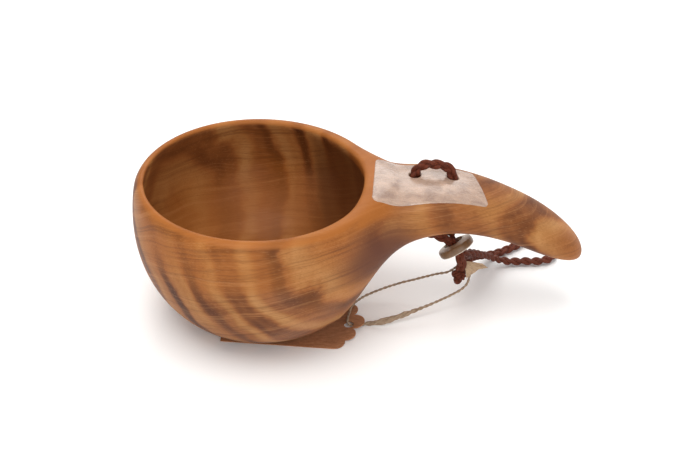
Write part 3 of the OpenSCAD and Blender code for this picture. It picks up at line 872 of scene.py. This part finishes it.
def make_tag():
    """The card: flat under the foot, bent up past its crease, with a punched hole."""
    bm = bmesh.new()
    edge = tag_edge()
    around = np.linspace(0, 2 * math.pi, 40, endpoint=False)
    hole = [PUNCH + PUNCH_R * np.array([math.cos(t), math.sin(t)]) for t in around]
    for ring_pts in (edge, hole):
        vs = [bm.verts.new((q[0], q[1], 0)) for q in ring_pts]
        for i in range(len(vs)):
            bm.edges.new((vs[i], vs[(i + 1) % len(vs)]))
    bmesh.ops.triangle_fill(bm, use_beauty=True, edges=bm.edges[:])
    for axis, cuts in ((0, np.arange(-56, 0, 2.0)), (1, np.arange(-16, 17, 2.0))):
        for c in cuts:
            co = [0, 0, 0]
            co[axis] = c
            no = [0, 0, 0]
            no[axis] = 1
            everything = bm.verts[:] + bm.edges[:] + bm.faces[:]
            bmesh.ops.bisect_plane(bm, geom=everything, plane_co=co, plane_no=no)
    bmesh.ops.recalc_face_normals(bm, faces=bm.faces[:])
    if bm.faces[0].normal.z < 0:
        bmesh.ops.reverse_faces(bm, faces=bm.faces[:])
    soft = 2.0
    for v in bm.verts:
        x, y = v.co.x, v.co.y
        past = x + FOLD
        rise = 0 if past < -soft else past if past > soft else (past + soft) ** 2 / (4 * soft)
        z = TAG_T + math.tan(LIFT) * rise
        if past < 0:
            z = max(TAG_T, z)
        px = TAG_POS[0] + x * math.cos(TAG_TURN) - y * math.sin(TAG_TURN)
        py = TAG_POS[1] + x * math.sin(TAG_TURN) + y * math.cos(TAG_TURN)
        v.co = Vector((px, py, z)) * MM
    me = bpy.data.meshes.new("card_tag")
    bm.to_mesh(me)
    bm.free()
    me.materials.append(card)
    ob = bpy.data.objects.new("card_tag", me)
    scene.collection.objects.link(ob)
    so = ob.modifiers.new("thick", "SOLIDIFY")
    so.thickness = (TAG_T - 0.02) * MM
    so.offset = -1
    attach(ob, "cup")
    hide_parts("hang_tag")
    return ob


tag = make_tag()

# ---------------------------------------------------------------- folded paper

FOLD_POS, FOLD_LEAN = np.array([85.2, 1.6, 22.8]), math.radians(55.4)
FOLD_EDGE = [
    (-0.4, 0.2), (6.9, -0.8), (9.4, -2.5), (5.3, -3.3), (4.1, -4.5), (1.6, -6.1), (0.6, -7.3), (-0.1, -3.3),
]


def make_fold():
    """The end of the paper string, opened flat and folded once beside the knot."""
    bm = bmesh.new()
    vs = [bm.verts.new((u, v, 0)) for u, v in FOLD_EDGE]
    for i in range(len(vs)):
        bm.edges.new((vs[i], vs[(i + 1) % len(vs)]))
    bmesh.ops.triangle_fill(bm, use_beauty=True, edges=bm.edges[:])
    for axis, cuts in ((0, np.arange(0, 9.5, 0.45)), (1, np.arange(-7, 0, 0.45))):
        for c in cuts:
            co, no = [0, 0, 0], [0, 0, 0]
            co[axis], no[axis] = c, 1
            everything = bm.verts[:] + bm.edges[:] + bm.faces[:]
            bmesh.ops.bisect_plane(bm, geom=everything, plane_co=co, plane_no=no)
    across = np.array([1.0, 0, 0])
    upward = np.array([0, math.cos(FOLD_LEAN), math.sin(FOLD_LEAN)])
    outward = np.cross(across, upward)
    for v in bm.verts:
        u, w = v.co.x, v.co.y
        crease = abs(w + 0.9 + 0.42 * u) * 0.10
        ripple = 0.16 * noise.noise(Vector((u * 0.9 + w * 0.7, w * 0.4, 2.0)))
        q = FOLD_POS + across * u + upward * w + outward * (0.15 - crease + ripple)
        v.co = Vector(q) * MM
    bmesh.ops.recalc_face_normals(bm, faces=bm.faces[:])
    me = bpy.data.meshes.new("paper_fold")
    bm.to_mesh(me)
    bm.free()
    me.polygons.foreach_set("use_smooth", [True] * len(me.polygons))
    me.materials.append(paper_painted_lit)
    at = me.attributes.new("lay", "FLOAT_VECTOR", "POINT")
    lay = []
    for v in me.vertices:
        q = np.array(v.co) / MM - FOLD_POS
        side, rise = float(q @ across), float(q @ upward)
        lay += [side * 0.9 - rise, rise * 1.2 + side * 0.5, 0.0]
    at.data.foreach_set("vector", lay)
    ob = bpy.data.objects.new("paper_fold", me)
    scene.collection.objects.link(ob)
    so = ob.modifiers.new("thick", "SOLIDIFY")
    so.thickness = 0.22 * MM
    so.offset = 0
    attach(ob, "cup")
    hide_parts("string_wrap")
    return ob


wrap = make_fold()

# ---------------------------------------------------------------- floor and light

me = bpy.data.meshes.new("floor")
me.from_pydata([(-6, -6, 0), (6, -6, 0), (6, 6, 0), (-6, 6, 0)], [], [(0, 1, 2, 3)])
floor = bpy.data.objects.new("floor", me)
scene.collection.objects.link(floor)
fm = bpy.data.materials.new("floor")
fm.use_nodes = True
fb = fm.node_tree.nodes["Principled BSDF"]
fb.inputs["Base Color"].default_value = (0.97, 0.97, 0.97, 1)
fb.inputs["Roughness"].default_value = 0.9
fb.inputs["Specular IOR Level"].default_value = 0.1
me.materials.append(fm)

world = bpy.data.worlds.new("world")
scene.world = world
world.use_nodes = True
world.node_tree.nodes["Background"].inputs[0].default_value = (1.0, 1.0, 1.0, 1)
world.node_tree.nodes["Background"].inputs[1].default_value = 0.74


def area(name, at, to, size, watts, colour=(1, 1, 1), size_y=None):
    d = bpy.data.lights.new(name, "AREA")
    d.energy = watts
    d.color = colour
    d.shape = "RECTANGLE"
    d.size = size
    d.size_y = size_y or size
    ob = bpy.data.objects.new(name, d)
    ob.location = at
    ob.rotation_euler = (Vector(to) - Vector(at)).to_track_quat("-Z", "Y").to_euler()
    scene.collection.objects.link(ob)
    return ob


area("key", (-0.15, -0.25, 1.1), (0.03, 0, 0.03), 0.7, 7.0, (1, 0.985, 0.96))
area("back", (0.1, 0.9, 0.8), (0.03, 0, 0.03), 0.8, 4.6, (1, 0.98, 0.95))
area("front", (0.5, -1.0, 0.5), (0.05, 0, 0.02), 0.8, 3.0)

scene.view_settings.view_transform = "Standard"
scene.view_settings.exposure = 0.0
